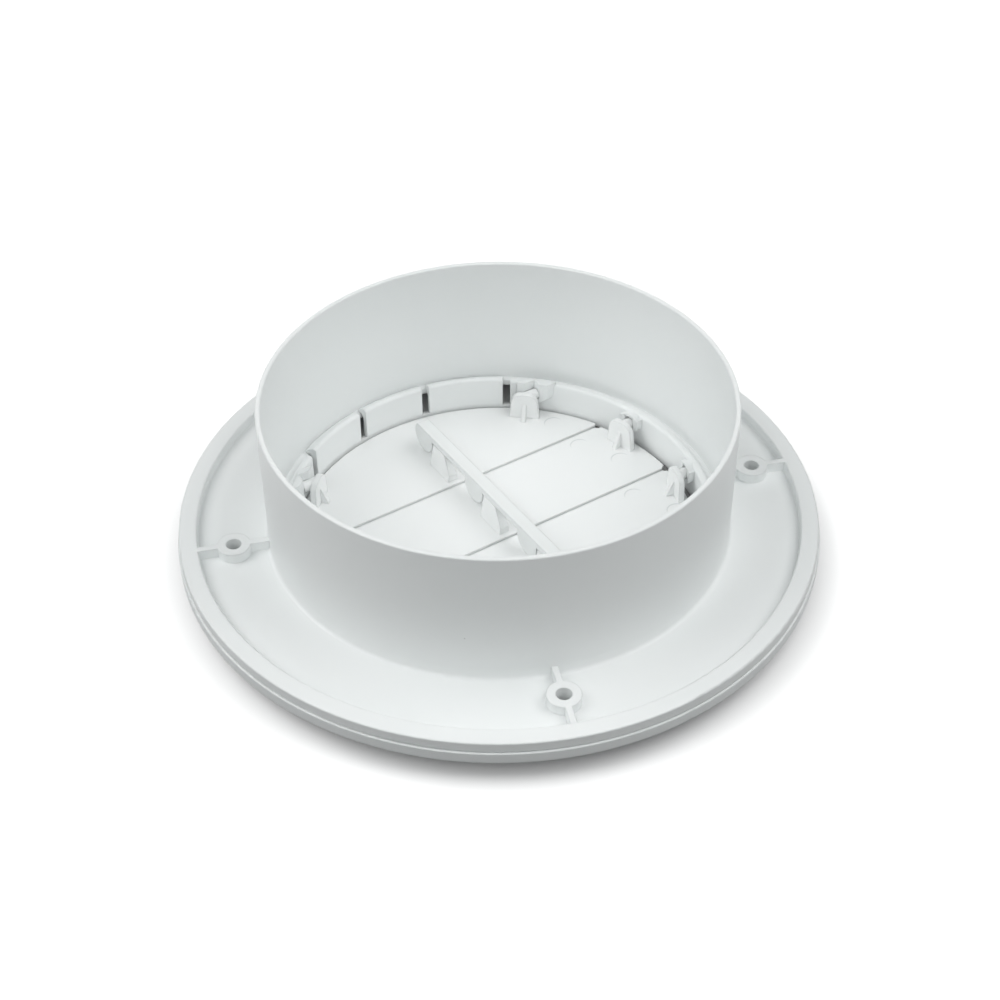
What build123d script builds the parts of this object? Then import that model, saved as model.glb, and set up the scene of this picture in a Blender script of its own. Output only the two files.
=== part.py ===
from build123d import *
from math import asin, degrees, sqrt
import os

# Adjustable ceiling vent for 150 mm duct. Millimetres, +Z up into the duct.
# The origin is the centre of the ceiling face, on top of the flange rim. The louvres pivot along X.

# Spigot and flange
spigot_r = 74.0
spigot_wall = 1.7
spigot_height = 43.8
flange_r = 102.0
rim_skin = 2.0
rim_edge_wall = 1.9
rim_edge_depth = 3.4
recess_depth = 3.4
plate_thickness = 2.0
lip_reach = 2.1
root_flare = 0.2
root_rise = 0.3
base_fillet = 1.2
edge_round = 0.5

# Screw bosses and their ribs
boss_count = 4
boss_r = 5.25
boss_turn = -20.3
screw_hole_r = 2.4
rib_width = 2.0

# Fascia ring, with its clearances to the flange
fascia_wall = 2.0
fascia_overhang = 0.6
fascia_gap = 0.3
fascia_under_gap = 0.3
fascia_lip_gap = 2.3
face_reveal = 0.55
face_bow = 1.0
rest_land = 2.4
face_round = 1.0
lip_round = 0.25

# Snap skirt of the fascia
skirt_wall = 1.6
skirt_clearance = 1.3
bead_clearance = 0.4
bead_depth = 1.6
bead_taper = 1.6
barb_reach = 1.2
barb_tip = 0.6
barb_taper = 1.65
barb_crown = 1.5
snap_gap = 0.25
finger_rise = 0.6
skirt_round = 1.0
slot_angles = (-35.3, -10.7, 10.7, 33.0)
slot_width = 2.6
slot_floor = 1.1

# Louvre blades
blade_end_gaps = (0.9, 1.6, 2.2, 3.7)
outer_pivot_margin = 19.9
pivot_depth = 3.7
blade_drop = 7.55
blade_thickness = 2.0
last_edge_shift = 11.6
last_edge_trim = 0.4
last_relief = 8.5
lap_shift = 3.3
lap = 2.5
lap_gap = 1.0
lap_play = 0.3
lap_lip = 0.9
corner_notch_r = 1.4

# Blade end tabs and pivot pins
tab_base = 10.6
tab_corner = 3.4
tab_flat = 2.4
tab_crown = 2.1
tab_thickness = 2.0
tab_gap = 4.2
last_tab_gap = 9.5
gusset_width = 1.6
gusset_reach = 2.6
gusset_setback = 3.6
pin_r = 1.8
pin_play = 0.25
pin_sunk = 0.4
bearing_wall = 1.6
bearing_reach = 2.2
bearing_drop = 1.2
outer_bearing_rise = 0.8
throat_snap = 0.8

# Link bar, with a fin and a link pin on each blade
link_x = 1.1
link_width = 4.4
link_rise = 4.1
link_depth = 2.2
link_pin_r = 1.6
link_pin_offset = -11.0
link_pin_drop = 1.3
link_pin_nub = 1.4
link_side_play = 0.3
link_play = 0.25
link_eye_wall = 1.55
link_eye_thickness = 2.0
fin_thickness = 2.0
fin_draft = 1.6
fin_front = 5.7
fin_back = 6.0
fin_front_rise = 2.6
fin_top_gap = 0.3
tongue_r = 5.4
tongue_offset = 1.2
tongue_gap = 1.55

# Radii and the blade pitch, from the spigot inwards and from the flange inwards
bore_r = spigot_r - spigot_wall
lip_r = bore_r - lip_reach
skirt_out_r = lip_r - skirt_clearance
skirt_r = skirt_out_r - skirt_wall
blade_count = len(blade_end_gaps)
blade_ends_r = [skirt_r - gap for gap in blade_end_gaps]
last_edge_r = blade_ends_r[-1] - last_edge_trim - last_edge_shift
blade_pitch = 2 * (skirt_r - outer_pivot_margin) / (blade_count - 1)
fascia_r = flange_r + fascia_overhang
fascia_inner_r = fascia_r - fascia_wall
rim_wall_r = fascia_inner_r - fascia_lip_gap
rim_r = rim_wall_r - rim_skin
boss_circle_r = (spigot_r + rim_r) / 2

# Heights, from the recess floor to the snap skirt, the pivots, the blades and the face
floor_z = -recess_depth
under_z = floor_z - plate_thickness
barb_z = floor_z + snap_gap
finger_top_z = barb_z + barb_tip + barb_taper
skirt_top_z = finger_top_z - finger_rise
pivot_z = skirt_top_z - pivot_depth
blade_top_z = pivot_z - blade_drop
blade_low_z = blade_top_z - blade_thickness
tab_top_z = pivot_z + tab_crown
face_low_z = blade_low_z - face_reveal
fascia_edge_z = under_z - fascia_under_gap - fascia_wall
slot_floor_z = face_low_z + fascia_wall + slot_floor

# Fits of the pins, the bearings and the link bar
bearing_r = pin_r + pin_play + bearing_wall
throat_width = 2 * (pin_r + pin_play) - throat_snap
link_pin_z = pivot_z - link_pin_drop
link_top_z = link_pin_z + link_rise
link_low_z = link_top_z - link_depth
link_eye_r = link_pin_r + link_play + link_eye_wall
link_eye_x = link_x + link_width - link_eye_thickness
fin_x = link_eye_x - link_side_play
tongue_low_z = blade_top_z + tongue_gap
sink = 0.3


def revolved(points, rounds, arc=360.0):
    """Revolve a closed (radius, height) outline about Z, with rounds as (radius, height, size) corners."""
    outline = make_face(Polyline(*points, close=True))
    for x, y, size in rounds:
        corner = outline.vertices().sort_by_distance((x, y, 0))[0]
        outline = fillet(corner, size)
    return revolve(Plane.XZ * outline, Axis.Z, arc)


def rod(radius, x0, x1, y, z):
    """A cylinder along X from x0 to x1."""
    return Pos((x0 + x1) / 2, y, z) * Rot(0, 90, 0) * Cylinder(radius, abs(x1 - x0))


def block(x0, x1, y0, y1, z0, z1):
    """A box between two corners."""
    middle = Pos((x0 + x1) / 2, (y0 + y1) / 2, (z0 + z1) / 2)
    return middle * Box(abs(x1 - x0), abs(y1 - y0), abs(z1 - z0))


def upright(outline, x0, x1):
    """Extrude a (y, z) outline along X from x0 to x1."""
    return extrude(Plane.YZ.offset(x0) * outline, x1 - x0)


def make_collar_flange():
    """Spigot, flange plate, hollow rim and inner lip in one section, with bosses and ribs in the recess."""
    edge_r = flange_r - rim_edge_wall
    root_r = spigot_r + root_flare
    section = [
        (lip_r, under_z), (rim_wall_r, under_z), (rim_wall_r, -rim_skin), (edge_r, -rim_skin),
        (edge_r, -rim_edge_depth), (flange_r, -rim_edge_depth), (flange_r, 0), (rim_r, 0),
        (rim_r, floor_z), (root_r, floor_z), (spigot_r, root_rise), (spigot_r, spigot_height),
        (bore_r, spigot_height), (bore_r, floor_z), (lip_r, floor_z),
    ]
    rounds = [
        (root_r, floor_z, base_fillet), (rim_r, floor_z, edge_round), (flange_r, 0, edge_round),
        (rim_r, 0, edge_round), (spigot_r, spigot_height, edge_round), (bore_r, spigot_height, edge_round),
    ]
    collar = revolved(section, rounds)
    boss = Pos(boss_circle_r, 0, (floor_z - sink) / 2) * Cylinder(boss_r, sink - floor_z)
    rib = block(spigot_r - sink, rim_r + sink, -rib_width / 2, rib_width / 2, floor_z - sink, 0)
    hole = Pos(boss_circle_r, 0, under_z / 2) * Cylinder(screw_hole_r, 2 * abs(under_z))
    for turn in range(boss_count):
        place = Rot(0, 0, boss_turn + turn * 360 / boss_count)
        collar = collar + place * (boss + rib) - place * hole
    return collar


def blade_y(index):
    """Pivot line of a blade, counted from the +Y side."""
    return ((blade_count - 1) / 2 - index) * blade_pitch


def tab_radius(index):
    """Outer face of a blade's end tabs, square to the vent's radius through the pivot line."""
    return skirt_r - (last_tab_gap if index == blade_count - 1 else tab_gap)


def tab_turn(index):
    """Turn from X to the radius through a blade's tab."""
    return Rot(0, 0, degrees(asin(blade_y(index) / tab_radius(index))))


def pin_end_x(index):
    """End of a blade's pivot pins, sunk a little into the skirt."""
    return sqrt(skirt_r**2 - (abs(blade_y(index)) + pin_r) ** 2) + pin_sunk


def make_fascia_ring():
    """Sloping face with its outer lip and snap skirt, the skirt's fingers and the eight louvre bearings."""
    lip_top_z = -rim_edge_depth - fascia_gap
    land_r = skirt_out_r + rest_land
    outer = ThreePointArc(
        (land_r, face_low_z),
        ((land_r + fascia_r) / 2, (face_low_z + fascia_edge_z) / 2 - face_bow),
        (fascia_r, fascia_edge_z),
    )
    inner = ThreePointArc(
        (fascia_inner_r, fascia_edge_z + fascia_wall),
        ((skirt_out_r + fascia_inner_r) / 2, (face_low_z + fascia_edge_z) / 2 - face_bow + fascia_wall),
        (skirt_out_r, face_low_z + fascia_wall),
    )
    lip = Polyline(outer @ 1, (fascia_r, lip_top_z), (fascia_inner_r, lip_top_z), inner @ 0)
    skirt = Polyline(
        inner @ 1, (skirt_out_r, skirt_top_z), (skirt_r, skirt_top_z), (skirt_r, face_low_z), outer @ 0)
    shell = make_face([outer, lip, inner, skirt])
    for x, y, size in ((skirt_r, face_low_z, face_round), (fascia_r, fascia_edge_z, face_round),
                       (fascia_r, lip_top_z, lip_round), (skirt_r, skirt_top_z, skirt_round)):
        shell = fillet(shell.vertices().sort_by_distance((x, y, 0))[0], size)
    ring = revolve(Plane.XZ * shell, Axis.Z)

    bead_r = lip_r - bead_clearance
    bead_z = skirt_top_z - bead_depth
    bead = [
        (skirt_out_r - sink, skirt_top_z), (skirt_out_r - sink, bead_z - bead_taper),
        (skirt_out_r, bead_z - bead_taper), (bead_r, bead_z), (bead_r, skirt_top_z),
    ]
    ring = ring + revolved(bead, [(bead_r, skirt_top_z, edge_round)])

    barb_r = lip_r + barb_reach
    barb = [
        (skirt_r, barb_z), (barb_r, barb_z), (barb_r, barb_z + barb_tip),
        (skirt_r + barb_crown, finger_top_z), (skirt_r, finger_top_z),
    ]
    barb_ring = revolved(barb, [(skirt_r, finger_top_z, skirt_round)], slot_angles[-1] - slot_angles[0])
    for side in (90, 270):
        ring = ring + Rot(0, 0, side + slot_angles[0]) * barb_ring
    slot = block(skirt_r - slot_width, barb_r + slot_width, -slot_width / 2, slot_width / 2,
                 slot_floor_z, slot_width)
    ring = ring - [Rot(0, 0, side + angle) * slot for side in (90, 270) for angle in slot_angles]

    inside = Cylinder(skirt_r + skirt_wall / 2, 2 * spigot_height)
    for index in range(blade_count):
        y = blade_y(index)
        outer = index in (0, blade_count - 1)
        top_z = skirt_top_z + (outer_bearing_rise if outer else -bearing_drop)
        boss = rod(bearing_r, 0, skirt_out_r, y, pivot_z)
        boss = boss + block(0, skirt_out_r, y - bearing_r, y + bearing_r, pivot_z, top_z)
        beyond = tab_turn(index) * block(
            skirt_r - bearing_reach, flange_r, -skirt_r, skirt_r, face_low_z, spigot_height)
        boss = boss & inside & beyond
        seat_end = pin_end_x(index) + pin_play
        seat = rod(pin_r + pin_play, 0, seat_end, y, pivot_z)
        seat = seat + block(0, seat_end, y - throat_width / 2, y + throat_width / 2, pivot_z, top_z + sink)
        ring = ring + boss + mirror(boss, Plane.YZ) - seat - mirror(seat, Plane.YZ)
    return ring


def plate_disc(radius, x, y):
    """A disc through the thickness of the blade plates, with its centre at x, y."""
    return Pos(x, y, (blade_top_z + blade_low_z) / 2) * Cylinder(radius, blade_thickness + 2 * sink)


def make_blade(index):
    """A lapped plate cut to the round of the vent, with end tabs, pivot pins, gussets and the link fin."""
    y = blade_y(index)
    end_r = blade_ends_r[index]
    last = index == blade_count - 1
    line = blade_pitch / 2 + lap_shift
    upper_low_y = y - line + lap_gap / 2
    upper_high_y = y + blade_pitch - line - lap_gap / 2
    lower_high_y = upper_high_y + lap_gap / 2 + lap
    lower_low_y = lower_high_y - blade_pitch + lap_gap / 2
    notches = [y - line, y + blade_pitch - line]
    if index == 0:
        upper_high_y = lower_high_y = end_r
        notches.pop()
    if last:
        upper_low_y = lower_low_y = -end_r
        notches.pop(0)
    lip_z = blade_top_z - lap_lip
    upper_low_z = lip_z - lap_play
    plate = block(-end_r, end_r, upper_low_y, upper_high_y, blade_top_z, lip_z)
    plate = plate + block(-end_r, end_r, lower_low_y, upper_high_y, lip_z, upper_low_z)
    plate = plate + block(-end_r, end_r, lower_low_y, lower_high_y, upper_low_z, blade_low_z)
    plate = plate & plate_disc(end_r, 0, 0)
    if last:
        low_z, top_z = blade_low_z - sink, blade_top_z + sink
        near_side = block(-end_r, end_r, -2 * end_r, y + last_relief, low_z, top_z)
        plate = plate - (near_side - plate_disc(last_edge_r, 0, -last_edge_shift))
    for notch_y in notches:
        notch_x = sqrt(end_r**2 - notch_y**2)
        plate = plate - [plate_disc(corner_notch_r, side * notch_x, notch_y) for side in (-1, 1)]

    face_r = tab_radius(index)
    inner_r = face_r - tab_thickness
    gusset_top_z = tab_top_z - gusset_setback
    foot = Pos(0, blade_top_z - sink / 2) * Rectangle(tab_base, sink)
    crown = [Pos(side * tab_flat / 2, tab_top_z - tab_corner) * Circle(tab_corner) for side in (-1, 1)]
    tab_outline = make_hull(foot.edges() + crown[0].edges() + crown[1].edges())
    gusset = make_face(Polyline(
        (inner_r + sink, gusset_top_z), (inner_r, gusset_top_z), (inner_r - gusset_reach, blade_top_z),
        (inner_r - gusset_reach, blade_top_z - sink), (inner_r + sink, blade_top_z - sink),
        close=True,
    ))
    web = extrude(Plane.XZ * gusset, gusset_width / 2, both=True)
    turn = tab_turn(index)
    beyond = turn * block(face_r - tab_thickness / 2, flange_r, -skirt_r, skirt_r, blade_low_z, spigot_height)
    pin = rod(pin_r, 0, pin_end_x(index), y, pivot_z) & beyond
    end = turn * (upright(tab_outline, inner_r, face_r) + web) + pin
    blade = plate + end + mirror(end, Plane.YZ)

    pin_y = y + link_pin_offset
    fin_top_z = link_low_z - fin_top_gap
    head_r = fin_top_z - link_pin_z
    base_z = blade_top_z - sink
    shoulder = Pos(pin_y, link_pin_z) * Circle(head_r)
    front = Pos(pin_y - fin_front / 2, base_z + fin_front_rise / 2) * Rectangle(fin_front, fin_front_rise)
    back = Pos(pin_y + fin_back / 2, (base_z + fin_top_z) / 2) * Rectangle(fin_back, fin_top_z - base_z)
    fin_outline = make_hull(shoulder.edges() + front.edges() + back.edges())
    fin_left_x = fin_x - fin_thickness
    drafted = make_face(Polyline(
        (fin_left_x - fin_draft, base_z), (fin_x, base_z), (fin_x, fin_top_z), (fin_left_x, fin_top_z),
        close=True,
    ))
    fin = upright(fin_outline, fin_left_x - fin_draft, fin_x)
    fin = fin & extrude(Plane.XZ.offset(-pin_y) * drafted, fin_front + fin_back, both=True)
    return blade + fin + rod(link_pin_r, fin_x - sink, link_x + link_width + link_pin_nub, pin_y, link_pin_z)


def make_link_bar():
    """A straight bar over the blades, with an eye on each link pin and a tongue over each pivot line."""
    far_y = blade_y(0) + tongue_offset
    near_y = blade_y(blade_count - 1) + link_pin_offset
    strip = Pos((far_y + near_y) / 2, (link_top_z + link_low_z) / 2) * Rectangle(far_y - near_y, link_depth)
    over = Pos(0, link_top_z + tongue_r) * Rectangle(2 * flange_r, 2 * tongue_r)
    eyes = strip
    for index in range(blade_count):
        strip = strip + Pos(blade_y(index) + tongue_offset, tongue_low_z + tongue_r) * Circle(tongue_r)
        eyes = eyes + Pos(blade_y(index) + link_pin_offset, link_pin_z) * Circle(link_eye_r)
    bar = upright(strip - over, link_x, link_x + link_width)
    bar = bar + upright(eyes, link_eye_x, link_x + link_width)
    hole = rod(link_pin_r + link_play, link_x - sink, link_x + link_width + sink, link_pin_offset, link_pin_z)
    return bar - [Pos(0, blade_y(index)) * hole for index in range(blade_count)]


os.makedirs("parts", exist_ok=True)
export_step(make_collar_flange(), "parts/collar_flange.step")
export_step(make_fascia_ring(), "parts/fascia_ring.step")
for number in range(blade_count):
    export_step(make_blade(number), f"parts/louvre_blade_{number + 1}.step")
export_step(make_link_bar(), "parts/link_bar.step")
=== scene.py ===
"""Dresses the ceiling vent: finishes for the mouldings, a pale floor, studio light and the camera."""
import math

import bpy
import numpy as np
from bpy.props import FloatProperty, FloatVectorProperty, PointerProperty
from mathutils import Matrix, Vector


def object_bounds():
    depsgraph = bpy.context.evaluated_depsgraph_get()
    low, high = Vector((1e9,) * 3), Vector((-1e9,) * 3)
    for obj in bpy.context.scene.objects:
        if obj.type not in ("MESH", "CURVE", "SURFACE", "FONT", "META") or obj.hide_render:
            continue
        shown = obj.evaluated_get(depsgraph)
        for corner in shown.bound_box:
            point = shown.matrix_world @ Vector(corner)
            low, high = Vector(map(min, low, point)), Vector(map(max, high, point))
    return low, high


bl_info = {
    "name": "Ceiling vent dressing",
    "version": (1, 0, 0),
    "blender": (4, 5, 0),
    "location": "View3D > Sidebar > Vent",
    "description": "Moulded finishes, stage and camera for an adjustable ceiling vent",
    "category": "Object",
}

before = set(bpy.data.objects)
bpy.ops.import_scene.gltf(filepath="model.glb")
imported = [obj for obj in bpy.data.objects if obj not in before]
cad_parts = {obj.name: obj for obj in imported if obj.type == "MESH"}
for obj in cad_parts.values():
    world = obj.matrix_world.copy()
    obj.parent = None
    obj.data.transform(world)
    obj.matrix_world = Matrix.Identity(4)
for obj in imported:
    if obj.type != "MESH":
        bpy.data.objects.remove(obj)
CAD_LOW, CAD_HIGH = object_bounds()
BLADE_NODES = [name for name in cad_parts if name.startswith("louvre_blade")]

# Ejector marks on the blades as distance from the middle and place along Y, in metres
EJECTOR_MARKS = ((0.0473, 0.0375), (0.0480, 0.0225), (0.0553, 0.0087), (0.0480, -0.0091), (0.0553, -0.0229),
                 (0.0400, -0.0440))
EJECTOR_RADIUS = 0.0033
EJECTOR_LINE = 0.0004
# Strength of the painted shadow grey in an ejector crescent, and the crescent's height in the bump
EJECTOR_PAINTED_SHADOW = 0.8
EJECTOR_STEP = 9.0

# Moulded skin: noise scales per metre, noise detail, the noise values that are mapped, and the grain's bump
CLOUD_SCALE = 17.0
CLOUD_DETAIL = 3.0
CLOUD_VALUES = (0.35, 0.65)
GLOSS_SCALE = 130.0
GLOSS_VALUES = (0.3, 0.7)
GLOSS_SPREAD = 0.05
FINE_DETAIL = 2.0
GRAIN_STRENGTH = 0.35
GRAIN_DEPTH = 0.00002

# Specks: cells per metre, a dot's inner and outer radius in cells, and the value above which a cell has one
SPECK_CELLS = 42.0
SPECK_RADII = (0.006, 0.016)
SPECK_CHOICE = 0.78

# Soft boxes as name, turn from the camera's side and height, both angles
SOFT_BOXES = (
    ("left", math.radians(-90), math.radians(51)),
    ("right", math.radians(90), math.radians(55)),
    ("front", math.radians(0), math.radians(35)),
)
BOX_DISTANCE = 1.0
SKY_TINT = (0.85, 1.0, 1.0)

SENSOR_WIDTH = 36.0
CAMERA_SHIFT = (0.0013, 0.0037)

# Middle of the rings in which the floor's shade and the edge of its shadow are painted, a little to the
# right of the vent's axis for the camera
PAINTED_SHADOW_CENTRE = (0.0017, -0.0011)
FLOOR_HALF_WIDTH = 3.0

# Floor in rings round that middle: radii where a tone starts and stops to change, and the tones there
# The near glow paints out the floor's shadow beyond its outer radius, so where the shadow fades is painted;
# the far glow turns the floor evenly white
PAINTED_SHADOW_EDGE_GLOW = (0.092, 0.110, 0.0, 0.42)
GLOW_FAR = (0.12, 0.40, 0.0, 0.60)
# Painted shade: for the camera the floor is darker under the vent than its pale tone further out
SEEN_TONE_PAINTED_SHADE = (0.080, 0.098, 0.40, 0.93)
# Painted shade: near the vent the floor sends back less light, which darkens the fascia's edge
BOUNCE_RADII = (0.100, 0.180)
BOUNCE_UNDER_PAINTED_SHADE = 0.08


class VentFinish(bpy.types.PropertyGroup):
    """Colour and surface of the white mouldings."""

    body_colour: FloatVectorProperty(
        name="Body colour", description="Cool white of the mouldings", subtype="COLOR",
        default=(0.938, 0.956, 0.953), min=0.0, max=1.0)
    shade_colour: FloatVectorProperty(
        name="Shade colour", description="Slightly deeper white of the cloudy patches", subtype="COLOR",
        default=(0.922, 0.944, 0.941), min=0.0, max=1.0)
    # Painted light: the core is a paler copy of the same white, standing in for more light on the louvres
    # down in the spigot
    painted_light_core_colour: FloatVectorProperty(
        name="Core colour", description="White of the louvre core, paler than the collar", subtype="COLOR",
        default=(0.966, 0.977, 0.974), min=0.0, max=1.0)
    painted_light_core_patch: FloatVectorProperty(
        name="Core shade", description="Deeper white of the core's cloudy patches", subtype="COLOR",
        default=(0.952, 0.966, 0.963), min=0.0, max=1.0)
    # Painted shade: the link bar gets a greyer copy of the same white, standing in for shade on the bar
    painted_shade_link_colour: FloatVectorProperty(
        name="Link colour", description="White of the link bar, greyer than the core", subtype="COLOR",
        default=(0.890, 0.906, 0.902), min=0.0, max=1.0)
    painted_shade_link_patch: FloatVectorProperty(
        name="Link shade", description="Deeper white of the link bar's cloudy patches", subtype="COLOR",
        default=(0.872, 0.892, 0.888), min=0.0, max=1.0)
    # Painted shadow: this grey stands in for the shade in the step of an ejector mark
    mark_painted_shadow_colour: FloatVectorProperty(
        name="Mark colour", description="Grey in the step of an ejector mark", subtype="COLOR",
        default=(0.70, 0.73, 0.73), min=0.0, max=1.0)
    speck_colour: FloatVectorProperty(
        name="Speck colour", description="Grey of stray specks in the resin", subtype="COLOR",
        default=(0.66, 0.68, 0.67), min=0.0, max=1.0)
    roughness: FloatProperty(
        name="Roughness", description="Satin of the moulded skin", subtype="FACTOR",
        default=0.42, min=0.0, max=1.0)
    grain_size: FloatProperty(
        name="Grain size", description="Spacing of the fine moulded grain", unit="LENGTH",
        default=0.0006, min=0.0001)
    edge_radius: FloatProperty(
        name="Edge radius", description="Softness of the moulded edges", unit="LENGTH",
        default=0.0006, min=0.0)


class VentStage(bpy.types.PropertyGroup):
    """Viewpoint and light."""

    azimuth: FloatProperty(
        name="Azimuth", description="Side the camera stands on", subtype="ANGLE",
        default=math.radians(-32.7))
    elevation: FloatProperty(
        name="Elevation", description="Height of the camera as an angle", subtype="ANGLE",
        default=math.radians(41.03))
    roll: FloatProperty(
        name="Roll", description="Tilt of the camera about its line of sight", subtype="ANGLE",
        default=math.radians(-0.468))
    distance: FloatProperty(
        name="Distance", description="Camera to the middle of the ceiling face", unit="LENGTH",
        default=0.579)
    lens: FloatProperty(name="Lens", description="Focal length in millimetres", default=64.9)
    left_power: FloatProperty(
        name="Left light", description="Soft box on the left", unit="POWER", default=5.2)
    right_power: FloatProperty(
        name="Right light", description="Soft box on the right", unit="POWER", default=4.85)
    front_power: FloatProperty(
        name="Front light", description="Soft box behind the camera", unit="POWER", default=2.05)
    box_size: FloatProperty(name="Box size", description="Side of each soft box", unit="LENGTH", default=0.8)
    sky: FloatProperty(name="Sky", description="Strength of the even light all round", default=0.08)
    bounce: FloatProperty(
        name="Floor bounce", description="Share of light the floor sends back up", subtype="FACTOR",
        default=0.35, min=0.0, max=1.0)


def new_material(name):
    """A material with an empty node tree but for its output."""
    material = bpy.data.materials.new(name)
    material.use_nodes = True
    tree = material.node_tree
    tree.nodes.clear()
    output = tree.nodes.new("ShaderNodeOutputMaterial")
    return material, tree, output


def new_group(name, inputs, outputs):
    """An empty node group with the named sockets, given as (name, socket type) pairs."""
    tree = bpy.data.node_groups.new(name, "ShaderNodeTree")
    for label, kind in inputs:
        tree.interface.new_socket(name=label, in_out="INPUT", socket_type=kind)
    for label, kind in outputs:
        tree.interface.new_socket(name=label, in_out="OUTPUT", socket_type=kind)
    return tree, tree.nodes.new("NodeGroupInput"), tree.nodes.new("NodeGroupOutput")


def add_math(tree, operation, first, second=None):
    """A maths node fed by sockets or plain numbers; gives its output socket."""
    node = tree.nodes.new("ShaderNodeMath")
    node.operation = operation
    for socket, value in zip(node.inputs, (first, second)):
        if isinstance(value, bpy.types.NodeSocket):
            tree.links.new(value, socket)
        elif value is not None:
            socket.default_value = value
    return node.outputs[0]


def add_range(tree, value, start, end, low, high, smooth=True):
    """Map a value from start..end to low..high; gives the output socket."""
    node = tree.nodes.new("ShaderNodeMapRange")
    node.interpolation_type = "SMOOTHSTEP" if smooth else "LINEAR"
    tree.links.new(value, node.inputs["Value"])
    for label, number in (("From Min", start), ("From Max", end), ("To Min", low), ("To Max", high)):
        node.inputs[label].default_value = number
    return node.outputs["Result"]


def add_noise(tree, position, scale, detail):
    """A noise texture over a position; gives its value socket."""
    node = tree.nodes.new("ShaderNodeTexNoise")
    tree.links.new(position, node.inputs["Vector"])
    if isinstance(scale, bpy.types.NodeSocket):
        tree.links.new(scale, node.inputs["Scale"])
    else:
        node.inputs["Scale"].default_value = scale
    node.inputs["Detail"].default_value = detail
    return node.outputs[0]


def add_mix(tree, factor, first, second):
    """Mix two colours, each a socket or a plain colour; gives the output socket."""
    node = tree.nodes.new("ShaderNodeMix")
    node.data_type = "RGBA"
    tree.links.new(factor, node.inputs["Factor"])
    for socket, value in ((node.inputs[6], first), (node.inputs[7], second)):
        if isinstance(value, bpy.types.NodeSocket):
            tree.links.new(value, socket)
        else:
            socket.default_value = (*value, 1.0)
    return node.outputs[2]


def skin_group():
    """Cloudy tint, patchy gloss and fine grain of a moulded skin, from three noises of falling size."""
    tree, feed, out = new_group(
        "moulded_skin", (("Position", "NodeSocketVector"), ("Grain", "NodeSocketFloat")),
        (("Cloud", "NodeSocketFloat"), ("Gloss", "NodeSocketFloat"), ("Height", "NodeSocketFloat")))
    position = feed.outputs["Position"]
    cloud = add_range(tree, add_noise(tree, position, CLOUD_SCALE, CLOUD_DETAIL), *CLOUD_VALUES, 0.0, 1.0)
    gloss = add_noise(tree, position, GLOSS_SCALE, FINE_DETAIL)
    spacing = add_math(tree, "DIVIDE", 1.0, feed.outputs["Grain"])
    height = add_noise(tree, position, spacing, FINE_DETAIL)
    tree.links.new(cloud, out.inputs["Cloud"])
    tree.links.new(gloss, out.inputs["Gloss"])
    tree.links.new(height, out.inputs["Height"])
    return tree


def speck_group():
    """Stray specks: a dot in the middle of every few cells of a Voronoi pattern."""
    tree, feed, out = new_group(
        "resin_specks", (("Position", "NodeSocketVector"),), (("Mask", "NodeSocketFloat"),))
    cells = tree.nodes.new("ShaderNodeTexVoronoi")
    cells.inputs["Scale"].default_value = SPECK_CELLS
    tree.links.new(feed.outputs["Position"], cells.inputs["Vector"])
    dot = add_range(tree, cells.outputs["Distance"], *SPECK_RADII, 1.0, 0.0)
    parts = tree.nodes.new("ShaderNodeSeparateColor")
    tree.links.new(cells.outputs["Color"], parts.inputs[0])
    chosen = add_math(tree, "GREATER_THAN", parts.outputs[0], SPECK_CHOICE)
    tree.links.new(add_math(tree, "MULTIPLY", dot, chosen), out.inputs["Mask"])
    return tree


def ejector_group():
    """Crescents left by ejector pins, where the distance to a centre is the pin's radius, on its +Y side;
    the mask raises a step in the bump and greys the blade as a painted shadow in that step.
    """
    tree, feed, out = new_group(
        "ejector_marks_painted_shadow", (("Position", "NodeSocketVector"),), (("Mark", "NodeSocketFloat"),))
    split = tree.nodes.new("ShaderNodeSeparateXYZ")
    tree.links.new(feed.outputs["Position"], split.inputs[0])
    side = add_math(tree, "ABSOLUTE", split.outputs["X"])
    total = None
    for x, y in EJECTOR_MARKS:
        across = add_math(tree, "SUBTRACT", side, x)
        along = add_math(tree, "SUBTRACT", split.outputs["Y"], y)
        squares = [add_math(tree, "POWER", offset, 2.0) for offset in (across, along)]
        reach = add_math(tree, "SQRT", add_math(tree, "ADD", *squares))
        off = add_math(tree, "ABSOLUTE", add_math(tree, "SUBTRACT", reach, EJECTOR_RADIUS))
        ring = add_range(tree, off, 0.0, EJECTOR_LINE, 1.0, 0.0)
        far_side = add_range(tree, along, 0.0, EJECTOR_RADIUS, 0.0, 1.0)
        mark = add_math(tree, "MULTIPLY", ring, far_side)
        total = mark if total is None else add_math(tree, "MAXIMUM", total, mark)
    tree.links.new(total, out.inputs["Mark"])
    return tree


def add_group(tree, group, position):
    """Place a node group and feed it the position."""
    node = tree.nodes.new("ShaderNodeGroup")
    node.node_tree = group
    tree.links.new(position, node.inputs["Position"])
    return node


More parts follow.
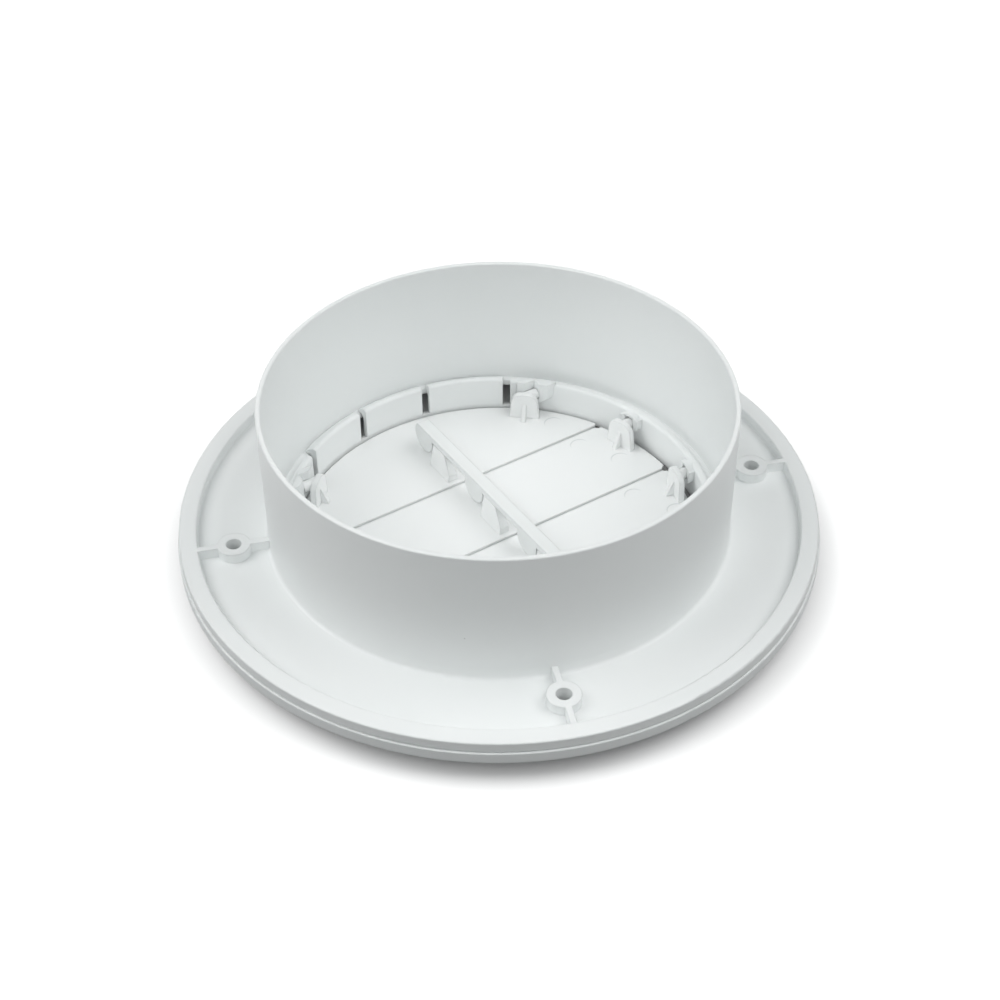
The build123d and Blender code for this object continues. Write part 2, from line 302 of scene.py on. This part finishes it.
def moulded_plastic(name, finish, colours, specks=False, ejectors=False):
    """White satin plastic with cloudy tint, grain and soft edges, and specks, or ejector marks with a
    painted shadow in their step, if asked.
    """
    groups = bpy.data.node_groups
    material, tree, output = new_material(name)
    position = tree.nodes.new("ShaderNodeTexCoord").outputs["Object"]
    skin = add_group(tree, groups.get("moulded_skin") or skin_group(), position)
    skin.inputs["Grain"].default_value = finish.grain_size
    colour = add_mix(tree, skin.outputs["Cloud"], *colours)
    height = skin.outputs["Height"]
    if specks:
        dots = add_group(tree, groups.get("resin_specks") or speck_group(), position)
        colour = add_mix(tree, dots.outputs["Mask"], colour, finish.speck_colour)
    if ejectors:
        marks = add_group(tree, groups.get("ejector_marks_painted_shadow") or ejector_group(), position)
        # The crescent greys the blade as a painted shadow in the mark's step; the same crescent raises that
        # step in the bump
        painted_step_shadow = add_math(tree, "MULTIPLY", marks.outputs["Mark"], EJECTOR_PAINTED_SHADOW)
        colour = add_mix(tree, painted_step_shadow, colour, finish.mark_painted_shadow_colour)
        height = add_math(tree, "MULTIPLY_ADD", marks.outputs["Mark"], EJECTOR_STEP)
        tree.links.new(skin.outputs["Height"], height.node.inputs[2])
    soft = tree.nodes.new("ShaderNodeBevel")
    soft.inputs["Radius"].default_value = finish.edge_radius
    bump = tree.nodes.new("ShaderNodeBump")
    bump.inputs["Strength"].default_value = GRAIN_STRENGTH
    bump.inputs["Distance"].default_value = GRAIN_DEPTH
    tree.links.new(height, bump.inputs["Height"])
    tree.links.new(soft.outputs[0], bump.inputs["Normal"])
    shader = tree.nodes.new("ShaderNodeBsdfPrincipled")
    tree.links.new(colour, shader.inputs["Base Color"])
    smoothest = finish.roughness - GLOSS_SPREAD
    roughest = finish.roughness + GLOSS_SPREAD
    rough = add_range(tree, skin.outputs["Gloss"], *GLOSS_VALUES, smoothest, roughest)
    tree.links.new(rough, shader.inputs["Roughness"])
    tree.links.new(bump.outputs[0], shader.inputs["Normal"])
    tree.links.new(shader.outputs["BSDF"], output.inputs["Surface"])
    return material


def dress(nodes, material):
    """Give the material to each of the named CAD nodes."""
    for name in nodes:
        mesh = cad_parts[name].data
        mesh.materials.clear()
        mesh.materials.append(material)


class VENT_OT_collar(bpy.types.Operator):
    """Finish the spigot and flange"""

    bl_idname = "vent.collar"
    bl_label = "Finish the collar"

    def execute(self, context):
        finish = context.scene.vent_finish
        colours = (finish.body_colour, finish.shade_colour)
        dress(["collar_flange"], moulded_plastic("collar_white", finish, colours, specks=True))
        return {"FINISHED"}


class VENT_OT_fascia(bpy.types.Operator):
    """Finish the fascia ring"""

    bl_idname = "vent.fascia"
    bl_label = "Finish the fascia"

    def execute(self, context):
        finish = context.scene.vent_finish
        colours = (finish.body_colour, finish.shade_colour)
        dress(["fascia_ring"], moulded_plastic("fascia_white", finish, colours, specks=True))
        return {"FINISHED"}


class VENT_OT_blades(bpy.types.Operator):
    """Finish the louvre blades"""

    bl_idname = "vent.blades"
    bl_label = "Finish the blades"

    def execute(self, context):
        finish = context.scene.vent_finish
        # Painted light: the blades take the core's paler white
        colours = (finish.painted_light_core_colour, finish.painted_light_core_patch)
        dress(BLADE_NODES, moulded_plastic("blade_white_painted_light_and_shadow", finish, colours, ejectors=True))
        return {"FINISHED"}


class VENT_OT_link(bpy.types.Operator):
    """Finish the link bar"""

    bl_idname = "vent.link"
    bl_label = "Finish the link bar"

    def execute(self, context):
        finish = context.scene.vent_finish
        # Painted shade: the link bar takes the greyer copy of the white
        colours = (finish.painted_shade_link_colour, finish.painted_shade_link_patch)
        dress(["link_bar"], moulded_plastic("link_white_painted_shade", finish, colours))
        return {"FINISHED"}


def plane_mesh(name, half, z):
    """A square of the given half width at height z."""
    mesh = bpy.data.meshes.new(name)
    corners = np.array([(-1, -1), (1, -1), (1, 1), (-1, 1)]) * half
    points = np.column_stack([corners, np.full(4, z)])
    mesh.from_pydata(points.tolist(), [], [(0, 1, 2, 3)])
    return mesh


def add_seen(tree):
    """One for rays of the camera, reflections and glass, and nought for light; gives the socket."""
    path = tree.nodes.new("ShaderNodeLightPath")
    seen = add_math(tree, "MAXIMUM", path.outputs["Is Camera Ray"], path.outputs["Is Glossy Ray"])
    return add_math(tree, "MAXIMUM", seen, path.outputs["Is Transmission Ray"])


def floor_material(bounce):
    """Pale floor with painted shade under the vent; for the camera a glow turns it white away from the vent
    and paints out its shadow past a ring, so the shadow's edge is painted; near the vent it sends back less
    light, a painted shade on the fascia.
    """
    material, tree, output = new_material("pale_floor_painted_shade")
    position = tree.nodes.new("ShaderNodeTexCoord").outputs["Object"]
    seen = add_seen(tree)
    split = tree.nodes.new("ShaderNodeSeparateXYZ")
    tree.links.new(position, split.inputs[0])
    offsets = [add_math(tree, "SUBTRACT", split.outputs[i], PAINTED_SHADOW_CENTRE[i]) for i in range(2)]
    across, along = [add_math(tree, "POWER", offset, 2.0) for offset in offsets]
    reach = add_math(tree, "SQRT", add_math(tree, "ADD", across, along))
    # The near glow paints the shadow's edge, the far glow whitens the floor
    glow_painted_shadow_edge = add_math(tree, "ADD", add_range(tree, reach, *PAINTED_SHADOW_EDGE_GLOW), add_range(tree, reach, *GLOW_FAR))
    # Painted shade under the vent, seen by the camera
    seen_tone_painted_shade = add_range(tree, reach, *SEEN_TONE_PAINTED_SHADE)
    # Painted shade: less light sent back near the vent
    bounce_tone_painted_shade = add_range(tree, reach, *BOUNCE_RADII, BOUNCE_UNDER_PAINTED_SHADE, bounce)
    tone = tree.nodes.new("ShaderNodeMix")
    for label, socket in ((0, seen), (2, bounce_tone_painted_shade), (3, seen_tone_painted_shade)):
        tree.links.new(socket, tone.inputs[label])
    matt = tree.nodes.new("ShaderNodeBsdfDiffuse")
    tree.links.new(tone.outputs[0], matt.inputs["Color"])
    glow = tree.nodes.new("ShaderNodeEmission")
    tree.links.new(add_math(tree, "MULTIPLY", glow_painted_shadow_edge, seen), glow.inputs["Strength"])
    both = tree.nodes.new("ShaderNodeAddShader")
    tree.links.new(matt.outputs[0], both.inputs[0])
    tree.links.new(glow.outputs[0], both.inputs[1])
    tree.links.new(both.outputs[0], output.inputs["Surface"])
    return material


def studio_world(sky):
    """Even light all round, white where the camera or a reflection looks straight at it."""
    world = bpy.data.worlds.new("studio")
    world.use_nodes = True
    tree = world.node_tree
    seen = add_seen(tree)
    strength = add_range(tree, seen, 0.0, 1.0, sky, 1.0, smooth=False)
    background = tree.nodes["Background"]
    tree.links.new(add_mix(tree, seen, SKY_TINT, (1.0, 1.0, 1.0)), background.inputs["Color"])
    tree.links.new(strength, background.inputs["Strength"])
    return world


def looking_in(azimuth, elevation, distance):
    """Place and turn of a camera or light that looks at the origin from the given side and height."""
    sight = Vector((
        math.sin(azimuth) * math.cos(elevation),
        -math.cos(azimuth) * math.cos(elevation),
        math.sin(elevation),
    ))
    return Matrix.Translation(sight * distance) @ sight.to_track_quat("Z", "Y").to_matrix().to_4x4()


class VENT_OT_stage(bpy.types.Operator):
    """Floor, light and camera"""

    bl_idname = "vent.stage"
    bl_label = "Set the stage"

    def execute(self, context):
        scene = context.scene
        stage = scene.vent_stage
        scene.view_settings.view_transform = "Standard"
        floor = bpy.data.objects.new("floor", plane_mesh("floor", FLOOR_HALF_WIDTH, CAD_LOW.z))
        floor.data.materials.append(floor_material(stage.bounce))
        scene.collection.objects.link(floor)
        scene.world = studio_world(stage.sky)

        powers = (stage.left_power, stage.right_power, stage.front_power)
        for (name, turn, elevation), power in zip(SOFT_BOXES, powers):
            box = bpy.data.lights.new(name, "AREA")
            box.shape = "SQUARE"
            box.size = stage.box_size
            box.energy = power
            lamp = bpy.data.objects.new(name, box)
            lamp.matrix_world = looking_in(stage.azimuth + turn, elevation, BOX_DISTANCE)
            scene.collection.objects.link(lamp)

        camera = bpy.data.cameras.new("camera")
        camera.lens = stage.lens
        camera.sensor_width = SENSOR_WIDTH
        camera.shift_x, camera.shift_y = CAMERA_SHIFT
        eye = bpy.data.objects.new("camera", camera)
        roll = Matrix.Rotation(stage.roll, 4, "Z")
        eye.matrix_world = looking_in(stage.azimuth, stage.elevation, stage.distance) @ roll
        scene.collection.objects.link(eye)
        scene.camera = eye
        return {"FINISHED"}


class VENT_PT_dressing(bpy.types.Panel):
    """Lists the steps"""

    bl_idname = "VENT_PT_dressing"
    bl_label = "Ceiling vent"
    bl_space_type = "VIEW_3D"
    bl_region_type = "UI"
    bl_category = "Vent"

    def draw(self, context):
        for operator in OPERATORS:
            self.layout.operator(operator.bl_idname)


GROUPS = (VentFinish, VentStage)
OPERATORS = (VENT_OT_collar, VENT_OT_fascia, VENT_OT_blades, VENT_OT_link, VENT_OT_stage)


def register():
    """Add the classes and hang the settings on the scene."""
    for kind in (*GROUPS, *OPERATORS, VENT_PT_dressing):
        bpy.utils.register_class(kind)
    bpy.types.Scene.vent_finish = PointerProperty(type=VentFinish)
    bpy.types.Scene.vent_stage = PointerProperty(type=VentStage)


def unregister():
    """Take the settings and the classes away again."""
    del bpy.types.Scene.vent_stage
    del bpy.types.Scene.vent_finish
    for kind in reversed((*GROUPS, *OPERATORS, VENT_PT_dressing)):
        bpy.utils.unregister_class(kind)


def main():
    """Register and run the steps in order."""
    register()
    bpy.ops.vent.collar()
    bpy.ops.vent.fascia()
    bpy.ops.vent.blades()
    bpy.ops.vent.link()
    bpy.ops.vent.stage()


if __name__ == "__main__":
    main()
